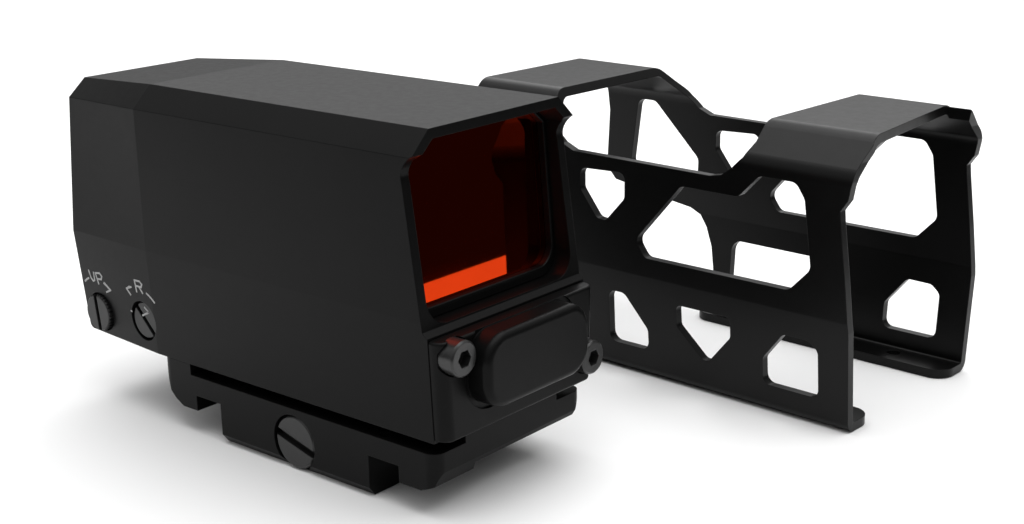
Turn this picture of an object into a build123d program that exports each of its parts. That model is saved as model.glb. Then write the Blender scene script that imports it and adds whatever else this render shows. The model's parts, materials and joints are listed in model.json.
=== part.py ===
"""Rail-mounted enclosed reflex (red dot) sight with its slide-on sheet guard.

Millimetres. +X runs forward to the front window, -Y is the adjuster side, +Z is up.
The origin is on the face that rests on the rail, at the axis of the clamp screw.
"""
import math
import os

from build123d import *

# ---- driving dimensions ---------------------------------------------------------------
WIDTH = 46.0            # housing, across the side creases
SEAT = 7.4              # underside of the housing above the rail's top face
HEIGHT = 57.8           # housing, seat to roof
REAR_X = -68.7          # rear face
FRONT_X = 36.1          # tip of the brow over the front window
LOWER_FRONT_X = 38.4    # front face below the window, behind the battery cover
FLOOR_Z = -8.0          # lowest face of the clamp
RAIL_W = 21.2           # standard accessory rail, across its flanks
GUARD_T = 2.0           # sheet of the guard
GAP = 0.06              # running clearance on radius

# ---- housing, derived ------------------------------------------------------------------
HALF = WIDTH / 2
TOP = SEAT + HEIGHT
CREASE_Z = SEAT + 23.2
FOOT = HALF - 1.0
CUT_Y = 4.7
CUT_Z = 4.5
FACET_X = -42.0         # where the rear facets start
REAR_FOOT = 20.0        # half widths and heights of the rear face
REAR_CREASE = 22.2
REAR_SHOULDER = (19.9, 59.9)
REAR_ROOF = (15.5, 63.6)
DECK_TOP = 30.2
DECK_LOW = 27.6
BAY_LOW = 10.2
BAY_Y = 16.0
BAY_REAR = -64.8
BAY_FRONT = 23.0
CELL_BAY_REAR = 25.2
TUNNEL_Y = 18.0
TUNNEL_REAR = -63.0
TUNNEL_FRONT = 28.1
REAR_SEAT_X = -65.2
REAR_WINDOW_Z = 45.75

# ---- front window: raked about a line across its sill ----------------------------------------
RAKE = 4.5
RAKE_X = 31.4
RAKE_Z = 31.0
WINDOW_HALF = 20.9
WINDOW_LOW = 28.75
WINDOW_SHOULDER = 59.6
WINDOW_UPPER = 17.3
WINDOW_TOP = 62.8
POCKET_X = 27.78
LENS_T = 3.0

# ---- adjusters: x, z, face of the dial seat ------------------------------------------------
UP_X = -62.6
UP_Z = 12.5
UP_FACE_Y = -22.1
UP_SEAT_Y = -18.9
SIDE_X = -46.1
SIDE_Z = 14.0
SIDE_FACE_Y = -21.5
SIDE_SEAT_Y = -19.4
DIAL_R = 4.15
STEM_R = 1.7
LEAD_R = 1.2

# ---- two-way stage of the emitter -------------------------------------------------------------
STAGE_X = -45.0
ROD_Z = 14.5
ROD_XS = (-49.6, -40.4)
PIN_YS = (-5.2, 5.2)
WEDGE_SLOPE = 0.25

# ---- cell, cover, clamp ----------------------------------------------------------------------
CELL_R = 7.7
CELL_LEN = 27.0
CELL_X = 33.6
CELL_Z = 18.4
COVER_T = 3.0
COVER_FRONT = LOWER_FRONT_X + 0.1 + COVER_T
BOSS_FRONT = 46.0
COVER_SCREWS = ((-18.8, 24.2), (19.3, 13.4))
HEAD_R = 3.45
SHANK_R = 2.0
BASE_SCREWS = ((-27.0, -7.0), (-27.0, 7.0), (17.5, -7.0), (17.5, 7.0))
PANEL_SCREWS = ((-15.4, 11.2), (15.4, 11.2), (-15.4, 26.6), (15.4, 26.6))
BUTTON_Y = 7.0
BUTTON_Z = 20.6
SLOT_REAR = -31.4
SLOT_Y = 13.6
SLOT_LOW = 5.0
BASE_REAR = -40.8
BASE_FRONT = 38.6
JAW_REAR = -22.3
JAW_FRONT = 21.0
JAW_TOP = 2.9
CLAMP_Z = -2.3
CLAMP_HEAD_R = 5.6
CLAMP_SHANK_R = 2.2

# ---- guard, in its own frame: x = 0 at its front foot, y = 0 midway, z = 0 underneath -----------
GUARD_HALF = 27.25
GUARD_H = 62.4
GUARD_FLANGE_Y = 15.4
GUARD_PLACE = (80.2, 86.1, FLOOR_Z)
GUARD_TURN = -3.1
GUARD_HOLES = (-16.0, -66.0)
GUARD_HOLE_Y = 20.0
GUARD_SHIFT = 40.0      # how far forward of the origin the fitted guard's front foot stands
GUARD_TAPS = tuple((GUARD_SHIFT + x, y) for x in GUARD_HOLES for y in (-GUARD_HOLE_Y, GUARD_HOLE_Y))


# ---- helpers ---------------------------------------------------------------------------------
def block(x0, x1, y0, y1, z0, z1):
    """Box between two corners."""
    box = Box(x1 - x0, y1 - y0, z1 - z0)
    return Pos((x0 + x1) / 2, (y0 + y1) / 2, (z0 + z1) / 2) * box


def rod_x(y, z, r, x0, x1):
    """Round bar along X."""
    return Pos((x0 + x1) / 2, y, z) * Rot(0, 90, 0) * Cylinder(r, x1 - x0)


def rod_y(x, z, r, y0, y1):
    """Round bar along Y."""
    return Pos(x, (y0 + y1) / 2, z) * Rot(90, 0, 0) * Cylinder(r, y1 - y0)


def rod_z(x, y, r, z0, z1):
    """Round bar along Z."""
    return Pos(x, y, (z0 + z1) / 2) * Cylinder(r, z1 - z0)


def outline(points, radius=0.0):
    """Flat polygon with its corners rounded."""
    shape = Polygon(*points, align=None)
    if radius > 0:
        shape = fillet(shape.vertices(), radius)
    return shape


def prism_y(sketch, y0, y1):
    """Push an X-Z outline through from y0 to y1."""
    return extrude(Plane.XZ.offset(-y0) * sketch, amount=y1 - y0, dir=(0, 1, 0))


def prism_x(sketch, x0, x1):
    """Push a Y-Z outline through from x0 to x1."""
    return extrude(Plane.YZ.offset(x0) * sketch, amount=x1 - x0, dir=(1, 0, 0))


def prism_z(sketch, z0, z1):
    """Push an X-Y outline through from z0 to z1."""
    return extrude(Plane.XY.offset(z0) * sketch, amount=z1 - z0, dir=(0, 0, 1))


def mirrored(points):
    """Right-hand points of a symmetric outline, closed with their mirror images."""
    return list(points) + [(-y, z) for y, z in reversed(points)]


def rounded(width, height, radius, y=0.0, z=0.0):
    """Rounded rectangle about (y, z)."""
    return Pos(y, z) * RectangleRounded(width, height, radius)


def edges_at_x(shape, x):
    """Every edge that lies in the plane at x."""
    found = []
    for edge in shape.edges():
        box = edge.bounding_box()
        if abs(box.min.X - x) < 1e-3 and abs(box.max.X - x) < 1e-3:
            found.append(edge)
    return found


def edges_at_y(shape, y):
    """Every edge that lies in the plane at y."""
    found = []
    for edge in shape.edges():
        box = edge.bounding_box()
        if abs(box.min.Y - y) < 1e-3 and abs(box.max.Y - y) < 1e-3:
            found.append(edge)
    return found


# ---- housing ------------------------------------------------------------------------------------
def shell_wire(x, right):
    """A symmetric section of the housing as a closed wire at x."""
    return Wire.make_polygon([Vector(x, y, z) for y, z in mirrored(right)], close=True)


def window_outline(inset=0.0, radius=5.0, sill=0.0):
    """Front window opening: round lower corners, slanted upper ones."""
    side = WINDOW_HALF - inset
    low = WINDOW_LOW + inset + sill
    shoulder = WINDOW_SHOULDER - 0.45 * inset
    upper = WINDOW_UPPER - 0.38 * inset
    shape = Polygon(*mirrored([(side, low), (side, shoulder), (upper, WINDOW_TOP - inset)]),
                    align=None)
    low_corners = [v for v in shape.vertices() if abs(v.Y - low) < 0.01]
    return fillet(low_corners, radius)


def raked(shape):
    """Lean a part of the front window back with the window."""
    return Pos(RAKE_X, 0, RAKE_Z) * Rot(0, -RAKE, 0) * Pos(-RAKE_X, 0, -RAKE_Z) * shape


def side_profile():
    """Side view of the housing: raked front edge, notch below the brow, step above the cover."""
    line = Polyline((REAR_X, SEAT), (LOWER_FRONT_X, SEAT), (LOWER_FRONT_X, 27.9), (37.3, 28.9),
                    (33.6, 56.0))
    notch = Spline((33.6, 56.0), (33.4, 57.4), (33.9, 58.8), (FRONT_X, 60.9))
    roof = Polyline((FRONT_X, 60.9), (FRONT_X, TOP), (REAR_X, TOP), (REAR_X, SEAT))
    return make_face([line, notch, roof])


def outer_shell():
    """Solid outside shape of the housing."""
    full = [(FOOT, SEAT), (HALF, CREASE_Z), (HALF, TOP - CUT_Z), (HALF - CUT_Y, TOP)]
    back = [(REAR_FOOT, SEAT), (REAR_CREASE, CREASE_Z), REAR_SHOULDER, REAR_ROOF]
    front = Solid.make_loft([shell_wire(FACET_X, full), shell_wire(LOWER_FRONT_X + 1, full)], True)
    rear = Solid.make_loft([shell_wire(REAR_X, back), shell_wire(FACET_X, full)], True)
    body = Part() + front + rear
    body = body & prism_y(side_profile(), -HALF - 1, HALF + 1)
    foot = [e for e in body.edges().filter_by(Axis.Y)
            if abs(e.center().X - REAR_X) < 0.1 and abs(e.center().Z - SEAT) < 0.1]
    return fillet(foot, 1.2)


def tunnel():
    """Optical tunnel between the two windows."""
    right = [(TUNNEL_Y, DECK_TOP), (TUNNEL_Y, 57.0), (13.8, 61.0)]
    return prism_x(outline(mirrored(right)), TUNNEL_REAR, TUNNEL_FRONT)


def rear_window_cuts():
    """Rear opening and the pocket of its glass."""
    hole = prism_x(rounded(31.0, 25.5, 4.0, 0, REAR_WINDOW_Z), REAR_X - 1, TUNNEL_REAR + 0.1)
    pocket = prism_x(rounded(34.0, 28.5, 4.5, 0, REAR_WINDOW_Z), REAR_X - 1, REAR_SEAT_X)
    return hole + pocket


def bay():
    """Lower bay with its rear mouth, the panel pocket and the cell bay."""
    cut = block(BAY_REAR, BAY_FRONT, -BAY_Y, BAY_Y, BAY_LOW, DECK_LOW)
    cut += prism_x(rounded(25.0, 14.0, 1.5, 0, 19.5), REAR_X - 1, BAY_REAR + 0.1)
    cut += prism_x(rounded(35.2, 20.2, 2.2, 0, 18.9), REAR_X - 1, -66.1)
    cut += block(CELL_BAY_REAR, LOWER_FRONT_X + 2, -16.1, 16.1, BAY_LOW, 26.2)
    cut += block(-50.5, -38.5, -5.0, 5.0, DECK_LOW - 1, DECK_TOP + 1)
    for y in (-12.0, 12.0):
        cut += rod_x(y, 16.0, 1.1, BAY_FRONT - 1, CELL_BAY_REAR + 1)
    return cut


def adjuster_cuts():
    """Seats, stem bores and seal grooves of the two adjusters, and the guide rod sockets."""
    cut = None
    for x, z, seat in ((UP_X, UP_Z, UP_SEAT_Y), (SIDE_X, SIDE_Z, SIDE_SEAT_Y)):
        piece = rod_y(x, z, DIAL_R + 0.3, -HALF - 2, seat)
        piece += rod_y(x, z, STEM_R + GAP, seat - 1, -BAY_Y + 1)
        piece += rod_y(x, z, 2.7, -17.7, -16.7)
        cut = piece if cut is None else cut + piece
    for x in ROD_XS:
        cut += rod_y(x, ROD_Z, 1.0, -BAY_Y - 1.0, BAY_Y + 1.0)
    return cut


def floor_bosses():
    """Bosses on the bay floor for the base screws."""
    bosses = None
    for x, y in BASE_SCREWS:
        boss = rod_z(x, y, 4.0, BAY_LOW - 0.5, 13.8)
        bosses = boss if bosses is None else bosses + boss
    return bosses


def floor_holes():
    """Tapped holes through the bosses, from below."""
    holes = None
    for x, y in BASE_SCREWS:
        hole = rod_z(x, y, SHANK_R, SEAT - 1, 14.5)
        holes = hole if holes is None else holes + hole
    return holes


def housing():
    """Machined housing: tunnel above, electronics and cell bays below."""
    body = outer_shell()
    body -= tunnel()
    body -= raked(prism_x(window_outline(), POCKET_X, LOWER_FRONT_X + 4))
    body -= rear_window_cuts()
    body -= bay()
    body += floor_bosses()
    body -= floor_holes()
    body -= adjuster_cuts()
    for y, z in COVER_SCREWS:
        body -= rod_x(y, z, SHANK_R, 28.0, LOWER_FRONT_X + 1)
    for y, z in PANEL_SCREWS:
        body -= rod_x(y, z, 1.0, -67.0, -64.7)
    return body


# ---- windows ---------------------------------------------------------------------------------------
def front_seal():
    """Flat gasket between the front glass and its seat."""
    ring = prism_x(window_outline(0.15, 4.8), POCKET_X + 0.02, POCKET_X + 0.6)
    return raked(ring - prism_x(window_outline(2.75, 2.6), POCKET_X - 1, POCKET_X + 1))


def front_lens():
    """Coated front glass."""
    back = POCKET_X + 0.62
    return raked(prism_x(window_outline(0.1, 4.9), back, back + LENS_T))


def front_bezel():
    """Thin frame that holds the front glass in, deeper along the sill."""
    back = POCKET_X + 0.67 + LENS_T
    ring = prism_x(window_outline(0.05, 4.95), back, back + 1.5)
    ring -= prism_x(window_outline(0.75, 4.3, 1.5), back - 1, back + 2)
    return raked(chamfer(edges_at_x(ring, back + 1.5), 0.2))


def rear_lens():
    """Clear rear glass."""
    return prism_x(rounded(33.8, 28.3, 4.4, 0, REAR_WINDOW_Z), -67.1, REAR_SEAT_X - 0.45)


def rear_seal():
    """Flat gasket of the rear glass."""
    ring = prism_x(rounded(33.8, 28.3, 4.4, 0, REAR_WINDOW_Z), REAR_SEAT_X - 0.43, REAR_SEAT_X - 0.02)
    return ring - prism_x(rounded(31.0, 25.5, 4.0, 0, REAR_WINDOW_Z), -70, -60)


def rear_bezel():
    """Frame over the rear glass."""
    ring = prism_x(rounded(33.9, 28.4, 4.4, 0, REAR_WINDOW_Z), REAR_X - 0.5, -67.15)
    ring -= prism_x(rounded(30.4, 24.9, 3.6, 0, REAR_WINDOW_Z), -72, -60)
    return chamfer(edges_at_x(ring, REAR_X - 0.5), 0.35)


# ---- emitter and its two-way stage ---------------------------------------------------------------------
def windage_carriage():
    """Block on two cross rods, moved sideways by the windage screw."""
    body = block(-52.4, -37.6, -7.0, 7.0, 11.8, 18.4)
    body -= rod_y(SIDE_X, SIDE_Z, LEAD_R + GAP, -8, 0.5)
    for x in ROD_XS:
        body -= rod_y(x, ROD_Z, 1.0 + GAP, -8, 8)
    for y in PIN_YS:
        body -= rod_z(STAGE_X, y, 0.8, 16.9, 19)
    return body


def stage_rods():
    """Two ground rods that the carriage runs on."""
    return [rod_y(x, ROD_Z, 0.99, -BAY_Y - 0.95, BAY_Y + 0.95) for x in ROD_XS]


def stage_pins():
    """Two upright pins that guide the emitter holder."""
    return [rod_z(STAGE_X, y, 0.79, 17.0, 24.5) for y in PIN_YS]


def emitter_holder():
    """Post that carries the emitter, with an arm that rides on the elevation wedge."""
    body = block(-49.0, -41.0, -6.8, 6.8, 19.2, 22.4)
    for y in PIN_YS:
        body -= rod_z(STAGE_X, y, 0.8 + GAP, 18, 23)
    body += block(-48.0, -42.0, -3.0, 3.0, 22.0, 29.0)
    body += block(-62.0, -48.5, -11.0, -5.0, 19.6, 21.4)
    low = 16.0 + 0.3
    foot = outline([(-11.0, low + 6 * WEDGE_SLOPE), (-7.0, low + 2 * WEDGE_SLOPE),
                    (-7.0, 20.0), (-11.0, 20.0)])
    body += prism_x(foot, -62.0, -59.1)
    return body


def elevation_wedge():
    """Wedge nut that travels along the elevation screw."""
    shape = outline([(-13.0, 10.9), (-5.0, 10.9), (-5.0, 16.0), (-13.0, 16.0 + 8 * WEDGE_SLOPE)])
    body = prism_x(shape, -64.3, -58.9)
    return body - rod_y(UP_X, UP_Z, LEAD_R + GAP, -14, -4)


def emitter_board():
    """Small circuit board under the emitter."""
    return block(-47.8, -42.2, -2.8, 2.8, 29.05, 29.75)


def led_emitter():
    """Light source in its clear case, leaning at the front glass."""
    body = block(-46.2, -43.8, -1.2, 1.2, 29.77, 30.5)
    return body + Pos(-45.0, 0, 30.5) * (Sphere(0.8) & block(-1, 1, -1, 1, 0, 1))


def carriage_spring():
    """Preload spring on the rear cross rod."""
    return coil(1.55, 0.28, 1.35, 7.2, (ROD_XS[0], 8.0, ROD_Z), (0, 1, 0))


def coil(radius, wire, pitch, length, start, axis):
    """Open coil of round wire."""
    path = Helix(pitch, length, radius)
    section = Plane(path @ 0, z_dir=path % 0) * Circle(wire)
    spring = sweep(section, path=path, is_frenet=True)
    place = Plane(origin=start, z_dir=axis)
    return place.location * spring


# ---- adjusters ---------------------------------------------------------------------------------------------
def dial(x, z, face_y, seat_y, lead_tip, slot_turn):
    """Coin-slot dial with a serrated rim, stem and lead screw."""
    body = rod_y(x, z, DIAL_R, face_y, seat_y - 0.08)
    body = chamfer([e for e in edges_at_y(body, face_y)], 0.3)
    for i in range(30):
        turn = 2 * math.pi * i / 30
        body -= rod_y(x + DIAL_R * math.cos(turn), z + DIAL_R * math.sin(turn), 0.2,
                      face_y - 1, seat_y + 1)
    slot = Box(10.0, 2.0, 1.1)
    body -= Pos(x, face_y, z) * Rot(0, slot_turn, 0) * slot
    body += rod_y(x, z, STEM_R, seat_y - 0.1, -BAY_Y + 0.02)
    body += rod_y(x, z, LEAD_R, -BAY_Y, lead_tip)
    return body


def elevation_adjuster():
    """Elevation dial, standing a little proud."""
    return dial(UP_X, UP_Z, UP_FACE_Y, UP_SEAT_Y, -3.2, 82.5)


def windage_adjuster():
    """Windage dial, just below flush in its seat."""
    return dial(SIDE_X, SIDE_Z, SIDE_FACE_Y, SIDE_SEAT_Y, -1.5, 45.5)


def adjuster_clip(x, z):
    """Ring that stops the adjuster coming out."""
    ring = rod_y(x, z, 1.95, -BAY_Y + 0.1, -BAY_Y + 0.7)
    return ring - rod_y(x, z, LEAD_R + 0.01, -20, -10)


def adjuster_seals():
    """O-rings round the two stems."""
    rings = []
    for x, z in ((UP_X, UP_Z), (SIDE_X, SIDE_Z)):
        ring = rod_y(x, z, 2.66, -17.55, -16.85)
        rings.append(ring - rod_y(x, z, STEM_R + 0.07, -19, -15))
    return rings


# ---- electronics ----------------------------------------------------------------------------------------------
def main_board():
    """Main circuit board over the floor bosses."""
    return block(-34.0, 22.0, -14.5, 14.5, 15.0, 16.4)


def board_spacers():
    """Plastic spacers between the bosses and the main board."""
    return [rod_z(x, y, 3.2, 13.85, 14.95) for x, y in BASE_SCREWS]


def board_chips():
    """Packages on the main board."""
    chips = [block(-22.0, -12.0, -5.0, 5.0, 16.45, 17.9), block(-4.0, 1.0, -9.0, -4.0, 16.45, 17.6),
             block(4.0, 10.0, 2.0, 8.0, 16.45, 19.4), rod_z(15.0, -8.0, 3.0, 16.45, 21.0)]
    chips += [block(x, x + 1.6, 10.0, 10.8, 16.45, 17.2) for x in (-28.0, -24.0, -20.0, -16.0, -12.0)]
    return chips


def cell():
    """Lithium cell with its raised end."""
    body = rod_y(CELL_X, CELL_Z, CELL_R, -CELL_LEN / 2, CELL_LEN / 2 - 1.0)
    body = fillet(edges_at_y(body, -CELL_LEN / 2), 0.6)
    body += rod_y(CELL_X, CELL_Z, 3.2, CELL_LEN / 2 - 1.1, CELL_LEN / 2)
    return body


def cell_tray():
    """Moulded cradle behind the cell."""
    body = block(25.3, 33.0, -15.9, 15.9, 10.6, 26.0)
    body -= rod_y(CELL_X, CELL_Z, CELL_R + 0.15, -13.8, 13.8)
    body -= block(27.8, 33.8, -15.4, -13.7, 12.0, 24.8)
    body -= block(27.8, 33.8, 13.7, 15.4, 12.0, 24.8)
    return body


def positive_contact():
    """Flat spring leaf at the raised end of the cell."""
    leaf = block(28.2, 32.9, 14.9, 15.3, 13.4, 23.4)
    return leaf + rod_y(31.4, CELL_Z, 1.5, 13.62, 15.0)


def negative_contact():
    """Coil contact at the flat end of the cell."""
    plate = block(28.2, 32.9, -15.3, -14.9, 13.4, 23.4)
    return plate + coil(1.4, 0.2, 0.6, 1.0, (30.6, -14.85, CELL_Z), (0, 1, 0))


# ---- buttons -----------------------------------------------------------------------------------------------------
def button_panel():
    """Rear panel with two button holes and posts for the switch board."""
    body = prism_x(rounded(35.0, 20.0, 2.1, 0, 18.9), REAR_X + 0.1, -66.15)
    for y in (-BUTTON_Y, BUTTON_Y):
        body -= rod_x(y, BUTTON_Z, 3.9 + GAP, -70, -60)
    for y, z in PANEL_SCREWS:
        body -= rod_x(y, z, 1.1, -70, -60)
        body -= rod_x(y, z, 1.95, -70, -67.6)
    for y in (-11.0, 0.0, 11.0):
        body += rod_x(y, 25.0 if y else 19.6, 0.8, -66.5, -63.5)
    return body


def panel_screws():
    """Four small flat screws."""
    screws = []
    for y, z in PANEL_SCREWS:
        head = rod_x(y, z, 1.85, -68.55, -67.65) - rod_x(y, z, 0.8, -70, -68.0)
        screws.append(head + rod_x(y, z, 0.97, -67.7, -64.95))
    return screws


def push_button(y, plus):
    """Domed button; a raised bar or cross tells up from down."""
    body = rod_x(y, BUTTON_Z, 3.9, -70.0, -66.0)
    body = fillet(edges_at_x(body, -70.0), 0.8)
    body += rod_x(y, BUTTON_Z, 4.6, -66.05, -65.3)
    bar = block(-70.3, -69.5, y - 1.7, y + 1.7, BUTTON_Z - 0.35, BUTTON_Z + 0.35)
    body += bar
    if plus:
        body += block(-70.3, -69.5, y - 0.35, y + 0.35, BUTTON_Z - 1.7, BUTTON_Z + 1.7)
    return body


def switch_board():
    """Board behind the buttons."""
    return block(-63.45, -62.5, -11.9, 11.9, 18.4, 26.0)


def tact_switches():
    """Two small switches."""
    return [block(-64.2, -63.5, y - 2.0, y + 2.0, BUTTON_Z - 2.0, BUTTON_Z + 2.0)
            for y in (-BUTTON_Y, BUTTON_Y)]


# ---- battery cover ----------------------------------------------------------------------------------------------------
def boss_outline(grow=0.0):
    """Capsule-like outline of the cover's boss."""
    return rounded(30.4 + 2 * grow, 14.6 + 2 * grow, 5.6 + grow, 0, 20.0)


def battery_cover():
    """Cover plate with a deep boss over the cell, open behind."""
    back = LOWER_FRONT_X + 0.1
    plate = prism_x(outline(mirrored([(FOOT - 0.1, SEAT + 0.5), (FOOT + 0.75, 27.5)])), back,
                    COVER_FRONT)
    uprights = [e for e in plate.edges()
                if abs(e.center().X - COVER_FRONT) < 0.01 and abs(e.center().Y) > 15]
    plate = fillet(uprights, 2.4)
    flats = [e for e in edges_at_x(plate, COVER_FRONT)
             if e.bounding_box().max.Z - e.bounding_box().min.Z < 0.1]
    plate = fillet(flats, 0.6)
    groove = prism_x(boss_outline(1.1) - boss_outline(0.0), COVER_FRONT - 0.5, COVER_FRONT + 1)
    plate -= groove
    boss = prism_x(boss_outline(), COVER_FRONT - 1.2, BOSS_FRONT)
    boss = fillet(edges_at_x(boss, BOSS_FRONT), 1.5)
    body = plate + boss
    body -= rod_y(CELL_X, CELL_Z, CELL_R + 0.4, -13.7, 13.7)
    for y, z in COVER_SCREWS:
        body -= rod_x(y, z, SHANK_R + 0.15, 30, 50)
        body -= rod_x(y, z, HEAD_R + 0.25, COVER_FRONT - 1.3, 50)
    return body


def cover_seal():
    """Gasket between the cover and the housing."""
    ring = prism_x(rounded(33.2, 16.9, 1.2, 0, 18.3), LOWER_FRONT_X + 0.0, LOWER_FRONT_X + 0.09)
    return ring - block(30, 45, -16.1, 16.1, 10.7, 25.9)


def cover_screw(y, z):
    """Socket head screw."""
    seat = COVER_FRONT - 1.26
    head = rod_x(y, z, HEAD_R, seat, seat + 3.4)
    head = chamfer(edges_at_x(head, seat + 3.4), 0.35)
    socket = prism_x(Pos(y, z) * RegularPolygon(1.5, 6, major_radius=False), seat + 1.5, seat + 5)
    return head - socket + rod_x(y, z, SHANK_R - 0.04, 29.0, seat + 0.1)


# ---- base and clamp ---------------------------------------------------------------------------------------------------------
def base_plan():
    """Plan view of the base: rounded front and rear corners."""
    return outline([(BASE_REAR, -22.0), (BASE_FRONT, -22.0), (BASE_FRONT, 22.0), (BASE_REAR, 22.0)],
                   2.6)


def base_side():
    """Side view that shapes the base's ends."""
    points = [(BASE_REAR, SEAT), (-38.6, 0.0), (-36.9, -1.6), (-34.6, -2.8), (34.6, -2.8),
              (37.6, -1.6), (BASE_FRONT, 1.0), (BASE_FRONT, SEAT)]
    return outline(points)


def rail_void():
    """Room for the rail below the seat: flat roof, slanted flanks."""
    half = RAIL_W / 2 + 0.25
    right = [(half - 2.2, -9.0), (half - 2.2, -6.9), (half, -4.6), (half, -2.7), (half - 2.7, 0.0)]
    return prism_x(outline(mirrored(right)), BASE_REAR - 1, BASE_FRONT + 1)


def near_block():
    """Fixed jaw under the near side, with a bevelled lower edge."""
    return prism_x(outline([(-22.0, 3.0), (-22.0, -6.2), (-20.6, FLOOR_Z), (-8.0, FLOOR_Z),
                            (-8.0, 3.0)]), JAW_REAR, JAW_FRONT)


def base():
    """Rail base: fixed jaw on the near side, end feet, and side slots for the guard's flanges."""
    body = block(BASE_REAR, BASE_FRONT, -22.0, 22.0, 0.0, SEAT)
    for x0, x1 in ((BASE_REAR, -30.0), (29.0, BASE_FRONT)):
        body += block(x0, x1, -22.0, -10.6, -2.8, 0.5)
    body -= block(-30.0, JAW_REAR, -23.0, -11.0, -1.0, 0.6)
    body -= block(JAW_FRONT, 29.0, -23.0, -11.0, -1.0, 0.6)
    body &= prism_z(base_plan(), -4, SEAT)
    body &= prism_y(base_side(), -23, 23)
    body += near_block()
    body -= rail_void()
    body -= block(JAW_REAR - 0.15, JAW_FRONT + 0.15, 11.0, 23.0, -9.0, JAW_TOP + 0.1)
    far_low = outline([(19.4, -1.0), (23.0, -1.0), (23.0, 3.0)])
    body -= prism_x(far_low, BASE_REAR - 1, JAW_FRONT + 1)
    front_low = outline([(18.8, -0.6), (18.8, -4.0), (24.0, -4.0), (24.0, 8.5)])
    body -= prism_x(front_low, JAW_FRONT + 1, BASE_FRONT + 1)
    for y0, y1 in ((-23.0, -SLOT_Y), (SLOT_Y, 23.0)):
        body -= block(SLOT_REAR, BASE_FRONT + 1, y0, y1, SLOT_LOW, SEAT + 1)
    body -= rod_y(0, CLAMP_Z, CLAMP_SHANK_R + GAP, -23, 12)
    body -= rod_y(0, CLAMP_Z, CLAMP_HEAD_R + 0.3, -23, -18.8)
    for x, y in BASE_SCREWS:
        body -= rod_z(x, y, SHANK_R + 0.15, -1, 8)
        body -= rod_z(x, y, HEAD_R + 0.25, -1, 3.9)
    for x, y in GUARD_TAPS:
        body -= rod_z(x, y, 1.25, -4, 6)
    return body


def base_screws():
    """Four socket screws up through the base into the housing."""
    screws = []
    for x, y in BASE_SCREWS:
        head = rod_z(x, y, HEAD_R, 0.3, 3.88)
        head -= prism_z(Pos(x, y) * RegularPolygon(1.5, 6, major_radius=False), -1, 2.0)
        screws.append(head + rod_z(x, y, SHANK_R - 0.04, 3.8, 13.6))
    return screws


def clamp_jaw():
    """Moving jaw on the far side."""
    shape = outline([(11.1, JAW_TOP), (21.8, JAW_TOP), (21.8, -6.2), (20.4, FLOOR_Z), (8.65, FLOOR_Z),
                     (8.65, -6.9), (10.85, -4.6), (10.85, -2.7), (11.1, -2.4)])
    body = prism_x(shape, JAW_REAR, JAW_FRONT)
    body -= rod_y(0, CLAMP_Z, CLAMP_SHANK_R + GAP, 5, 23)
    body -= prism_y(Pos(0, CLAMP_Z) * RegularPolygon(4.1, 6, major_radius=False), 17.9, 23)
    return body


def clamp_nut():
    """Hexagon nut let into the moving jaw."""
    body = prism_y(Pos(0, CLAMP_Z) * RegularPolygon(4.0, 6, major_radius=False), 18.0, 21.7)
    return body - rod_y(0, CLAMP_Z, CLAMP_SHANK_R + GAP, 10, 23)


def clamp_screw():
    """Cross screw with a large coin-slot head."""
    body = rod_y(0, CLAMP_Z, CLAMP_HEAD_R, -21.8, -18.9)
    body = chamfer(edges_at_y(body, -21.8), 0.4)
    body -= Pos(0, -21.8, CLAMP_Z) * Rot(0, 15, 0) * Box(12.0, 3.2, 1.7)
    return body + rod_y(0, CLAMP_Z, CLAMP_SHANK_R, -19.0, 21.4)


# ---- guard --------------------------------------------------------------------------------------------------------------------
def guard_section():
    """Bent-sheet section: flanges in, walls with a low bend, round shoulders, flat top."""
    outer = mirrored([(GUARD_HALF - 2.1, 0.0), (GUARD_HALF, 24.5), (GUARD_HALF, 55.0),
                      (GUARD_HALF - 8.4, GUARD_H)])
    face = Polygon(*outer, align=None)
    top = [v for v in face.vertices() if v.Y > 50]
    face = fillet(top, 5.0)
    bend = [v for v in face.vertices() if 20 < v.Y < 28]
    face = fillet(bend, 6.0)
    foot = [v for v in face.vertices() if v.Y < 1]
    face = fillet(foot, 2.6)
    inner = offset(face, amount=-GUARD_T)
    mouth = Pos(0, GUARD_T / 2) * Rectangle(2 * GUARD_FLANGE_Y, 2 * GUARD_T)
    return face - inner - mouth


def guard_side():
    """Side view of the guard: two hoops on a common rail, foot cut away at the rear."""
    front = [(-0.6, -0.1), (-0.4, 22.5), (-0.9, 27.0), (-1.7, 34.0), (-3.2, 45.5), (-3.4, 47.8),
             (-1.7, 50.2), (-1.0, 54.0), (-0.9, 57.5), (-0.3, 61.0), (-0.3, 63.0)]
    saddle = [(-26.9, 63.0), (-26.6, 58.4), (-27.7, 55.4), (-30.0, 52.9), (-32.7, 51.0),
              (-35.6, 50.4), (-74.0, 50.5), (-77.4, 51.9), (-80.6, 54.6), (-83.4, 58.6),
              (-86.0, 63.0)]
    back = [(-110.6, 63.0), (-110.0, 58.6), (-107.4, 54.6), (-106.6, 48.0), (-107.6, 32.6),
            (-104.6, 29.4), (-85.6, 26.4), (-79.5, 25.6), (-76.3, 24.2), (-74.2, 21.4),
            (-72.2, 16.6), (-71.0, 9.9), (-71.0, -0.1)]
    return outline(front + saddle + back)


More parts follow.
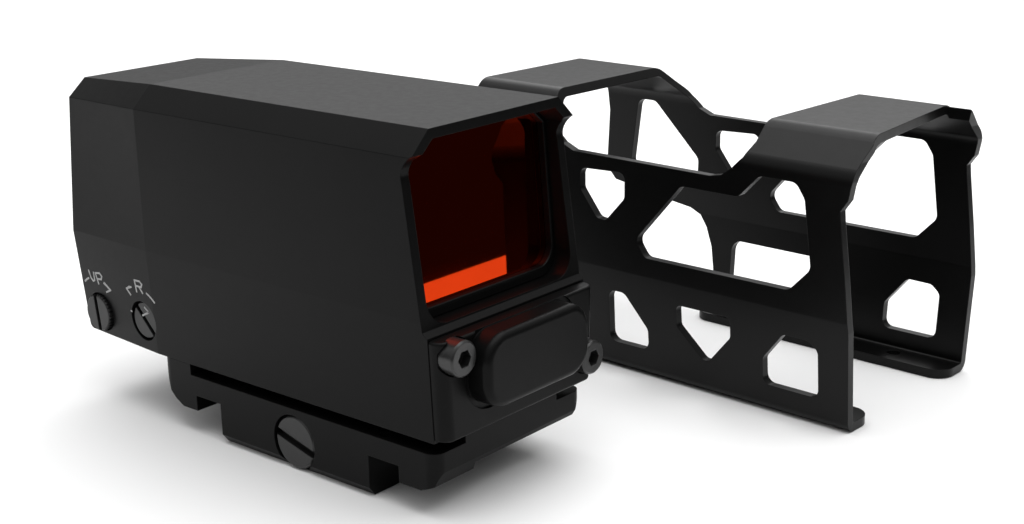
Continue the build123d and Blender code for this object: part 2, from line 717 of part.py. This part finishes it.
def guard_upper_holes():
    """Openings that both walls share."""
    big = [(-43.2, 46.9), (-28.2, 46.9), (-23.0, 52.2), (-14.0, 52.2), (-11.8, 49.0),
           (-9.8, 34.4), (-15.0, 29.0), (-53.0, 28.8), (-55.8, 32.6)]
    middle = [(-72.0, 46.9), (-58.9, 47.5), (-58.9, 41.6), (-64.4, 35.6), (-67.0, 35.8),
              (-72.0, 42.0)]
    rear = [(-96.9, 52.2), (-91.3, 52.2), (-77.3, 38.8), (-77.5, 32.8), (-99.6, 33.4)]
    front = [(-21.6, 12.2), (-16.2, 18.9), (-10.0, 18.8), (-7.7, 17.0), (-7.7, 6.2),
             (-21.6, 6.2)]
    return [outline(big, 2.2), outline(middle, 1.8), outline(rear, 2.4), outline(front, 2.0)]


def guard_near_holes():
    """Lower openings of the near wall only."""
    first = [(-63.9, 19.2), (-59.3, 19.2), (-52.8, 11.6), (-52.8, 6.5), (-64.3, 6.4)]
    second = [(-44.5, 19.5), (-29.8, 19.6), (-29.9, 14.9), (-36.0, 7.8), (-37.6, 7.9),
              (-44.5, 14.4)]
    return [outline(first, 2.2), outline(second, 1.4)]


def guard_far_hole():
    """Long lower opening of the far wall."""
    return outline([(-66.0, 19.4), (-38.0, 19.4), (-38.0, 6.4), (-66.0, 6.4)], 3.0)


def guard_brow():
    """Plan view of the strip trimmed off the front hoop's crown."""
    return outline([(1.0, -20.5), (-0.6, -20.5), (-5.4, 19.5), (1.0, 19.5)])


def flange_plan():
    """Plan view that rounds the flanges' free corners."""
    side = outline([(-71.0, GUARD_FLANGE_Y), (-0.6, GUARD_FLANGE_Y), (-0.6, 40.0), (-71.0, 40.0)],
                   4.2)
    return side + mirror(side, about=Plane.XZ)


def guard():
    """Slide-on guard, standing on the same surface beside the sight."""
    body = prism_x(guard_section(), -112.0, 1.0)
    body &= prism_y(guard_side(), -30, 30)
    for hole in guard_upper_holes():
        body -= prism_y(hole, -30, 30)
    for hole in guard_near_holes():
        body -= prism_y(hole, -30, 0)
    body -= prism_y(guard_far_hole(), 0, 30)
    body -= prism_z(guard_brow(), 56.0, 64.0)
    low = block(-71.5, 1.0, -23.5, 23.5, -1.0, GUARD_T + 0.01) - prism_z(flange_plan(), -2, 3)
    body -= low
    for x in GUARD_HOLES:
        for y in (-GUARD_HOLE_Y, GUARD_HOLE_Y):
            body -= rod_z(x, y, 1.6, -1, 4)
    return Pos(*GUARD_PLACE) * Rot(0, 0, GUARD_TURN) * body


# ---- output ----------------------------------------------------------------------------------------------------------------------
def solids_of(shape):
    """Flatten a shape or a list of shapes into its solids."""
    if isinstance(shape, (list, tuple)):
        return [s for item in shape for s in solids_of(item)]
    return list(shape.solids())


def pieces():
    """Every node by name."""
    return {
        "housing": housing(),
        "front_lens": front_lens(),
        "front_seal": front_seal(),
        "front_bezel": front_bezel(),
        "rear_lens": rear_lens(),
        "rear_seal": rear_seal(),
        "rear_bezel": rear_bezel(),
        "windage_carriage": windage_carriage(),
        "stage_rods": stage_rods(),
        "stage_pins": stage_pins(),
        "carriage_spring": carriage_spring(),
        "emitter_holder": emitter_holder(),
        "emitter_board": emitter_board(),
        "led_emitter": led_emitter(),
        "elevation_wedge": elevation_wedge(),
        "elevation_adjuster": elevation_adjuster(),
        "elevation_clip": adjuster_clip(UP_X, UP_Z),
        "windage_adjuster": windage_adjuster(),
        "windage_clip": adjuster_clip(SIDE_X, SIDE_Z),
        "adjuster_seals": adjuster_seals(),
        "main_board": main_board(),
        "board_spacers": board_spacers(),
        "board_chips": board_chips(),
        "cell": cell(),
        "cell_tray": cell_tray(),
        "positive_contact": positive_contact(),
        "negative_contact": negative_contact(),
        "button_panel": button_panel(),
        "panel_screws": panel_screws(),
        "up_button": push_button(BUTTON_Y, True),
        "down_button": push_button(-BUTTON_Y, False),
        "switch_board": switch_board(),
        "tact_switches": tact_switches(),
        "battery_cover": battery_cover(),
        "cover_seal": cover_seal(),
        "near_cover_screw": cover_screw(*COVER_SCREWS[0]),
        "far_cover_screw": cover_screw(*COVER_SCREWS[1]),
        "base": base(),
        "base_screws": base_screws(),
        "clamp_jaw": clamp_jaw(),
        "clamp_nut": clamp_nut(),
        "clamp_screw": clamp_screw(),
        "guard": guard(),
    }


def main():
    """Write one STEP file per node."""
    os.makedirs("parts", exist_ok=True)
    for name, shape in pieces().items():
        solids = solids_of(shape)
        export_step(Compound(children=solids) if len(solids) > 1 else solids[0],
                    f"parts/{name}.step")
        print(name, len(solids), round(sum(s.volume for s in solids), 1))


main()
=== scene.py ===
"""Looks of the rail-mounted enclosed sight and its guard. Metres, in the CAD frame."""
import json
import math

import bmesh
import bpy
from mathutils import Matrix, Vector


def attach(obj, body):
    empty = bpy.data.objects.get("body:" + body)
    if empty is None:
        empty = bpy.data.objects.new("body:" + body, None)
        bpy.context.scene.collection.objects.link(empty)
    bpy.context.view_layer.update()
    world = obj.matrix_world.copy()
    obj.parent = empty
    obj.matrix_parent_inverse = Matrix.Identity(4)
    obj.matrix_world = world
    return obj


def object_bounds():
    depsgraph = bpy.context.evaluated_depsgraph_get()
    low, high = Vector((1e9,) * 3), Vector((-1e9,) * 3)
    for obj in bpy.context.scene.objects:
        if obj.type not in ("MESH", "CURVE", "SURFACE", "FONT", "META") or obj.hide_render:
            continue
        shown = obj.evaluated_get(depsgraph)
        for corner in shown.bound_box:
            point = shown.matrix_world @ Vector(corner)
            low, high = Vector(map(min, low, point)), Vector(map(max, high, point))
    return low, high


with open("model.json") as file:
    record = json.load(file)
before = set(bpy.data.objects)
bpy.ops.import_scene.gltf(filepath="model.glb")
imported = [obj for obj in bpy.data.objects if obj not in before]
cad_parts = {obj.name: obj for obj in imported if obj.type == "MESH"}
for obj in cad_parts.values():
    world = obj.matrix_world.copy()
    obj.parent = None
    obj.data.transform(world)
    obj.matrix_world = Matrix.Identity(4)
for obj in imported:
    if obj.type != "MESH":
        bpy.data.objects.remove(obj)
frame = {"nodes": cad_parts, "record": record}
cad_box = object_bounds()
NODES = frame["nodes"]
RECORD = frame["record"]
MM = 0.001

# ---- camera -----------------------------------------------------------------------------
IMAGE_W = 1024
CAMERA_AT = Vector((0.22136, -0.21484, 0.12091))
AZIMUTH = math.radians(40.297)
ELEVATION = math.radians(16.575)
ROLL = math.radians(-1.0546)
FOCAL_PX = 1570.5
SENSOR = 36.0


def camera_axes():
    """Right, up and back of the camera."""
    back = Vector((math.sin(AZIMUTH) * math.cos(ELEVATION),
                   -math.cos(AZIMUTH) * math.cos(ELEVATION), math.sin(ELEVATION)))
    right = (-back).cross(Vector((0, 0, 1))).normalized()
    down = (-back).cross(right)
    turned_right = math.cos(ROLL) * right - math.sin(ROLL) * down
    turned_down = math.sin(ROLL) * right + math.cos(ROLL) * down
    return turned_right, -turned_down, back


def add_camera():
    """Camera at the photographed view."""
    data = bpy.data.cameras.new("camera")
    data.sensor_width = SENSOR
    data.sensor_fit = "HORIZONTAL"
    data.lens = FOCAL_PX / IMAGE_W * SENSOR
    data.clip_start = 0.01
    data.clip_end = 50.0
    cam = bpy.data.objects.new("camera", data)
    right, up, back = camera_axes()
    cam.matrix_world = Matrix(((right.x, up.x, back.x, CAMERA_AT.x),
                               (right.y, up.y, back.y, CAMERA_AT.y),
                               (right.z, up.z, back.z, CAMERA_AT.z), (0, 0, 0, 1)))
    bpy.context.scene.collection.objects.link(cam)
    bpy.context.scene.camera = cam


# ---- stage ------------------------------------------------------------------------------
WORLD = 1.0
SKY = ((0.0, 0.02), (0.16, 0.03), (0.42, 0.5), (1.0, 1.0))  # (height of direction, level)
FLOOR_REACH = 4.0
FLOOR_EDGE = 0.19       # the sheet's edge in front of the sight, seen reflected in the glass
FLOOR_DROP = 0.0002
OVERHEAD = 10.0         # watts
BEHIND = 3.3


def area_light(name, at, aim, size, power):
    """Rectangular soft light aimed at a point."""
    data = bpy.data.lights.new(name, "AREA")
    data.shape = "RECTANGLE"
    data.size, data.size_y = size
    data.energy = power
    lamp = bpy.data.objects.new(name, data)
    lamp.location = at
    lamp.rotation_euler = (Vector(aim) - Vector(at)).to_track_quat("-Z", "Y").to_euler()
    lamp.visible_camera = False
    bpy.context.scene.collection.objects.link(lamp)


def add_world():
    """White seen directly; softer and darker towards the horizon for everything else."""
    world = bpy.data.worlds.new("studio")
    world.use_nodes = True
    tree = world.node_tree
    background = tree.nodes["Background"]
    coord = tree.nodes.new("ShaderNodeTexCoord")
    split = tree.nodes.new("ShaderNodeSeparateXYZ")
    tree.links.new(coord.outputs["Generated"], split.inputs["Vector"])
    ramp = tree.nodes.new("ShaderNodeValToRGB")
    stops = ramp.color_ramp
    while len(stops.elements) < len(SKY):
        stops.elements.new(0.5)
    for element, (height, level) in zip(stops.elements, SKY):
        element.position = height
        element.color = (level, level, level, 1)
    tree.links.new(split.outputs["Z"], ramp.inputs["Fac"])
    path = tree.nodes.new("ShaderNodeLightPath")
    mix = tree.nodes.new("ShaderNodeMix")
    mix.data_type = "RGBA"
    colours = [i for i in mix.inputs if i.type == "RGBA"]
    colours[1].default_value = (1, 1, 1, 1)
    tree.links.new(path.outputs["Is Camera Ray"], mix.inputs["Factor"])
    tree.links.new(ramp.outputs["Color"], colours[0])
    result = [o for o in mix.outputs if o.type == "RGBA"][0]
    tree.links.new(result, background.inputs["Color"])
    background.inputs["Strength"].default_value = WORLD
    bpy.context.scene.world = world


def add_floor():
    """Pale sheet that ends a little way in front of the sight."""
    floor_z = cad_box[0][2] - FLOOR_DROP
    mesh = bpy.data.meshes.new("floor")
    bm = bmesh.new()
    corners = [bm.verts.new((x, y, 0)) for x, y in
               ((-FLOOR_REACH, -FLOOR_REACH), (FLOOR_EDGE, -FLOOR_REACH),
                (FLOOR_EDGE, FLOOR_REACH), (-FLOOR_REACH, FLOOR_REACH))]
    bm.faces.new(corners)
    bm.to_mesh(mesh)
    bm.free()
    floor = bpy.data.objects.new("floor", mesh)
    floor.location.z = floor_z
    bpy.context.scene.collection.objects.link(floor)
    mat = bpy.data.materials.new("floor_paper")
    mat.use_nodes = True
    bsdf = mat.node_tree.nodes["Principled BSDF"]
    bsdf.inputs["Base Color"].default_value = (0.9, 0.9, 0.9, 1)
    bsdf.inputs["Roughness"].default_value = 0.9
    bsdf.inputs["Specular IOR Level"].default_value = 0.1
    mesh.materials.append(mat)


def add_stage():
    """Pale floor, pale surroundings and soft lights."""
    add_floor()
    add_world()
    area_light("overhead", (0.05, 0.15, 0.9), (0.0, 0.03, 0.02), (1.3, 1.1), OVERHEAD)
    area_light("behind", (-0.75, 0.88, 0.62), (0.0, 0.03, 0.03), (1.3, 0.6), BEHIND)
    bpy.context.scene.view_settings.view_transform = "Standard"
    bpy.context.scene.view_settings.look = "None"


# ---- materials --------------------------------------------------------------------------
EDGE = 0.00022          # how far from an edge the shading is softened, in metres


class Shader:
    """A node material being put together."""

    def __init__(self, name):
        self.mat = bpy.data.materials.new(name)
        self.mat.use_nodes = True
        self.tree = self.mat.node_tree
        self.bsdf = self.tree.nodes["Principled BSDF"]
        self.coord = self.tree.nodes.new("ShaderNodeTexCoord")

    def set(self, **values):
        """Set sockets of the main shader by name, with _ for a space."""
        for key, value in values.items():
            self.bsdf.inputs[key.replace("_", " ")].default_value = value
        return self

    def node(self, kind, **values):
        """New node with its sockets set."""
        made = self.tree.nodes.new(kind)
        for key, value in values.items():
            made.inputs[key.replace("_", " ")].default_value = value
        return made

    def link(self, source, target):
        self.tree.links.new(source, target)

    def noise(self, scale, detail=4.0, rough=0.55, stretch=(1, 1, 1)):
        """Noise over the object, scale in cells per metre."""
        mapping = self.node("ShaderNodeMapping")
        mapping.inputs["Scale"].default_value = stretch
        self.link(self.coord.outputs["Object"], mapping.inputs["Vector"])
        made = self.node("ShaderNodeTexNoise", Scale=scale, Detail=detail, Roughness=rough)
        self.link(mapping.outputs["Vector"], made.inputs["Vector"])
        return made.outputs["Fac"]

    def span(self, fac, low, high):
        """Map 0.3..0.7 of a texture to low..high."""
        made = self.node("ShaderNodeMapRange")
        made.inputs["From Min"].default_value = 0.3
        made.inputs["From Max"].default_value = 0.7
        made.inputs["To Min"].default_value = low
        made.inputs["To Max"].default_value = high
        self.link(fac, made.inputs["Value"])
        return made.outputs["Result"]

    def ramp(self, fac, stops):
        """Colour ramp from (position, colour) pairs."""
        made = self.node("ShaderNodeValToRGB")
        ramp = made.color_ramp
        while len(ramp.elements) < len(stops):
            ramp.elements.new(0.5)
        for element, (place, colour) in zip(ramp.elements, stops):
            element.position = place
            element.color = (*colour, 1)
        self.link(fac, made.inputs["Fac"])
        return made.outputs["Color"]

    def colour(self, fac, stops):
        self.link(self.ramp(fac, stops), self.bsdf.inputs["Base Color"])
        return self

    def roughness(self, fac, low, high):
        self.link(self.span(fac, low, high), self.bsdf.inputs["Roughness"])
        return self

    def bump(self, fac, strength, distance, edge=0.0):
        """Fine relief, and edges that catch the light; distance and edge in metres."""
        made = self.node("ShaderNodeBump", Strength=strength, Distance=distance)
        self.link(fac, made.inputs["Height"])
        if edge:
            soft = self.node("ShaderNodeBevel", Radius=edge)
            soft.samples = 6
            self.link(soft.outputs["Normal"], made.inputs["Normal"])
        self.link(made.outputs["Normal"], self.bsdf.inputs["Normal"])
        return made


def grey(value):
    return (value, value, value)


def metal_paint(name, level, rough, ior, grain=9000.0, relief=4e-6, shine=0.5):
    """Blasted and black anodised aluminium."""
    s = Shader(name).set(IOR=ior, Specular_IOR_Level=shine)
    cloud = s.noise(55.0, 5.0)
    s.colour(cloud, [(0.3, grey(level * 0.88)), (0.7, grey(level * 1.12))])
    s.roughness(s.noise(600.0, 6.0), rough - 0.025, rough + 0.03)
    s.bump(s.noise(grain, 3.0), 0.5, relief, EDGE)
    return s.mat


def bare_metal(name, colour, rough, stretch=(1, 1, 1)):
    """Turned or milled bare metal."""
    s = Shader(name).set(Metallic=1.0)
    cloud = s.noise(400.0, 5.0, 0.6, stretch)
    s.colour(cloud, [(0.3, tuple(c * 0.85 for c in colour)), (0.7, colour)])
    s.roughness(s.noise(900.0, 5.0, 0.6, stretch), rough - 0.05, rough + 0.08)
    s.bump(s.noise(3000.0, 3.0, 0.5, stretch), 0.4, 4e-6)
    return s.mat


def moulded(name, colour, rough, grain=2500.0, relief=6e-6, ior=1.46):
    """Moulded plastic or rubber."""
    s = Shader(name).set(IOR=ior)
    cloud = s.noise(150.0, 4.0)
    s.colour(cloud, [(0.3, tuple(c * 0.85 for c in colour)), (0.7, tuple(c * 1.1 for c in colour))])
    s.roughness(s.noise(500.0, 4.0), rough - 0.05, rough + 0.07)
    s.bump(s.noise(grain, 3.0), 0.5, relief)
    return s.mat


def glass(name, tint, coat, rough=0.02, see=0.85):
    """Thin flat glass: see-through tinted, with a coloured reflective coating."""
    s = Shader(name)
    tree = s.tree
    tree.nodes.remove(s.bsdf)
    out = [n for n in tree.nodes if n.type == "OUTPUT_MATERIAL"][0]
    clear = s.node("ShaderNodeBsdfTransparent")
    cloud = s.noise(60.0, 3.0)
    s.link(s.ramp(cloud, [(0.3, tuple(c * 0.9 for c in tint)), (0.7, tint)]), clear.inputs["Color"])
    gloss = s.node("ShaderNodeBsdfGlossy", Roughness=rough)
    s.link(s.ramp(cloud, [(0.3, tuple(c * 0.92 for c in coat)), (0.7, coat)]), gloss.inputs["Color"])
    weight = s.node("ShaderNodeLayerWeight", Blend=0.25)
    mix = s.node("ShaderNodeMixShader")
    fac = s.node("ShaderNodeMapRange")
    fac.inputs["To Min"].default_value = 1 - see
    fac.inputs["To Max"].default_value = 1.0
    s.link(weight.outputs["Fresnel"], fac.inputs["Value"])
    s.link(fac.outputs["Result"], mix.inputs["Fac"])
    s.link(clear.outputs["BSDF"], mix.inputs[1])
    s.link(gloss.outputs["BSDF"], mix.inputs[2])
    s.link(mix.outputs["Shader"], out.inputs["Surface"])
    return s.mat


def make_materials():
    """One finish for each of the record's material slots."""
    return {
        "black_anodised": metal_paint("black_anodised", 0.0035, 0.36, 1.27, shine=0.26),
        "guard_black": metal_paint("guard_black", 0.003, 0.30, 1.29, 6000.0, 2e-6, shine=0.4),
        "dial_black": metal_paint("dial_black", 0.010, 0.36, 1.42),
        "ruby_glass": glass("ruby_glass", (0.45, 0.07, 0.06), (0.72, 0.045, 0.006), see=0.25),
        "clear_glass": glass("clear_glass", (0.82, 0.9, 0.88), (0.75, 0.9, 0.8), see=0.93),
        "seal_rubber": moulded("seal_rubber", grey(0.018), 0.6),
        "bare_aluminium": bare_metal("bare_aluminium", (0.78, 0.78, 0.80), 0.32),
        "wedge_brass": bare_metal("wedge_brass", (0.78, 0.56, 0.24), 0.3),
        "plain_steel": bare_metal("plain_steel", (0.6, 0.6, 0.61), 0.26),
        "screw_black": metal_paint("screw_black", 0.012, 0.30, 1.5),
        "board_green": moulded("board_green", (0.015, 0.10, 0.04), 0.35),
        "chip_black": moulded("chip_black", grey(0.02), 0.45),
        "tray_plastic": moulded("tray_plastic", grey(0.03), 0.5),
        "cell_wrap": moulded("cell_wrap", (0.10, 0.16, 0.42), 0.28),
        "led_clear": moulded("led_clear", (0.75, 0.45, 0.42), 0.15),
        "button_rubber": moulded("button_rubber", grey(0.022), 0.65, 4000.0, 8e-6),
    }


def dress_nodes(finishes):
    """Give every CAD node the finish of its slot."""
    for name, obj in NODES.items():
        for slot in obj.material_slots:
            base = slot.material.name.split(".")[0] if slot.material else ""
            if base in finishes:
                slot.material = finishes[base]
            else:
                print("NO FINISH", name, base)


# ---- marks on the adjuster side ----------------------------------------------------------
STROKE = 0.42           # width of a painted line, and its two faces from the surface, in mm
PAINT_OUT = 0.04
PAINT_IN = 0.05
DIAL_FACE_Y = -21.5
FACET_X = -42.0         # the rear taper starts here and runs over this length
TAPER_LENGTH = 26.7
UP_CENTRE = (-62.6, 12.5)
SIDE_CENTRE = (-46.1, 14.0)
UP_STROKES = (
    ((-65.35, 21.75), (-64.85, 20.1), (-64.2, 19.45), (-63.5, 19.75), (-63.45, 21.6)),
    ((-62.1, 19.2), (-62.75, 21.6), (-61.1, 21.9), (-60.35, 21.3), (-60.75, 20.5), (-62.3, 20.3)),
)
SIDE_STROKES = (
    ((-47.3, 20.4), (-47.6, 22.95), (-45.8, 23.05), (-45.0, 22.5), (-45.4, 21.8), (-47.3, 21.75)),
    ((-46.2, 21.75), (-45.1, 20.5)),
)
DIAL_STROKES = (((-46.07, 16.9), (-44.78, 16.0), (-46.99, 14.9)),)


def wall_y(x, z):
    """Y of the housing's lower near wall at (x, z), in millimetres."""
    part = min(max((FACET_X - x) / TAPER_LENGTH, 0.0), 1.0)
    foot = 22.0 - 2.0 * part
    crease = 23.0 - 0.8 * part
    return -(foot + (crease - foot) * (z - 7.4) / 23.2)


def arc(centre, radius, start, end, steps):
    """Points along an arc, angles in degrees from +X towards +Z."""
    points = []
    for i in range(steps + 1):
        turn = math.radians(start + (end - start) * i / steps)
        points.append((centre[0] + radius * math.cos(turn), centre[1] + radius * math.sin(turn)))
    return points


def add_stroke(bm, points, width, surface):
    """Flat painted line of even width, lying on a surface."""
    for (x0, z0), (x1, z1) in zip(points[:-1], points[1:]):
        along = Vector((x1 - x0, z1 - z0)).normalized()
        side = Vector((-along.y, along.x)) * width / 2
        tip = along * width * 0.35
        corners = [Vector((x0, z0)) - tip + side, Vector((x0, z0)) - tip - side,
                   Vector((x1, z1)) + tip - side, Vector((x1, z1)) + tip + side]
        outer = [bm.verts.new((c.x * MM, (surface(c.x, c.y) - PAINT_OUT) * MM, c.y * MM))
                 for c in corners]
        inner = [bm.verts.new((c.x * MM, (surface(c.x, c.y) + PAINT_IN) * MM, c.y * MM))
                 for c in corners]
        bm.faces.new(outer)
        bm.faces.new(inner[::-1])
        for i in range(4):
            bm.faces.new((outer[i], inner[i], inner[(i + 1) % 4], outer[(i + 1) % 4]))


def add_marks(name, strokes, body, surface, finish):
    """One painted mark made of several strokes."""
    bm = bmesh.new()
    for points in strokes:
        add_stroke(bm, points, STROKE, surface)
    bmesh.ops.recalc_face_normals(bm, faces=bm.faces)
    mesh = bpy.data.meshes.new(name)
    bm.to_mesh(mesh)
    bm.free()
    mesh.materials.append(finish)
    obj = bpy.data.objects.new(name, mesh)
    bpy.context.scene.collection.objects.link(obj)
    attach(obj, body)


def mark_paint():
    """Matte off-white paint."""
    s = Shader("mark_paint").set(IOR=1.4)
    s.colour(s.noise(900.0, 4.0), [(0.3, grey(0.30)), (0.7, grey(0.45))])
    s.roughness(s.noise(1500.0, 4.0), 0.55, 0.75)
    return s.mat


def add_all_marks():
    """Turn marks of the two adjusters, an index dot and the pointer on the windage dial."""
    paint = mark_paint()
    up_arc = [arc(UP_CENTRE, 8.0, 129, 114, 3), arc(UP_CENTRE, 7.7, 70, 52, 4),
              [(-59.7, 19.9), (-57.6, 18.6), (-59.4, 17.8)]]
    add_marks("up_mark", list(UP_STROKES) + up_arc, "sight", wall_y, paint)
    side_arc = [[(-49.2, 21.1), (-51.1, 20.4), (-49.8, 19.2)], arc(SIDE_CENTRE, 7.2, 70, 46, 4),
                arc(SIDE_CENTRE, 8.0, 128, 118, 2)]
    dot = [[(-50.5, 15.3), (-50.3, 15.3)]]
    add_marks("windage_mark", list(SIDE_STROKES) + side_arc + dot, "sight", wall_y, paint)
    add_marks("dial_mark", DIAL_STROKES, "windage_adjuster", lambda x, z: DIAL_FACE_Y, paint)


add_camera()
add_stage()
dress_nodes(make_materials())
add_all_marks()
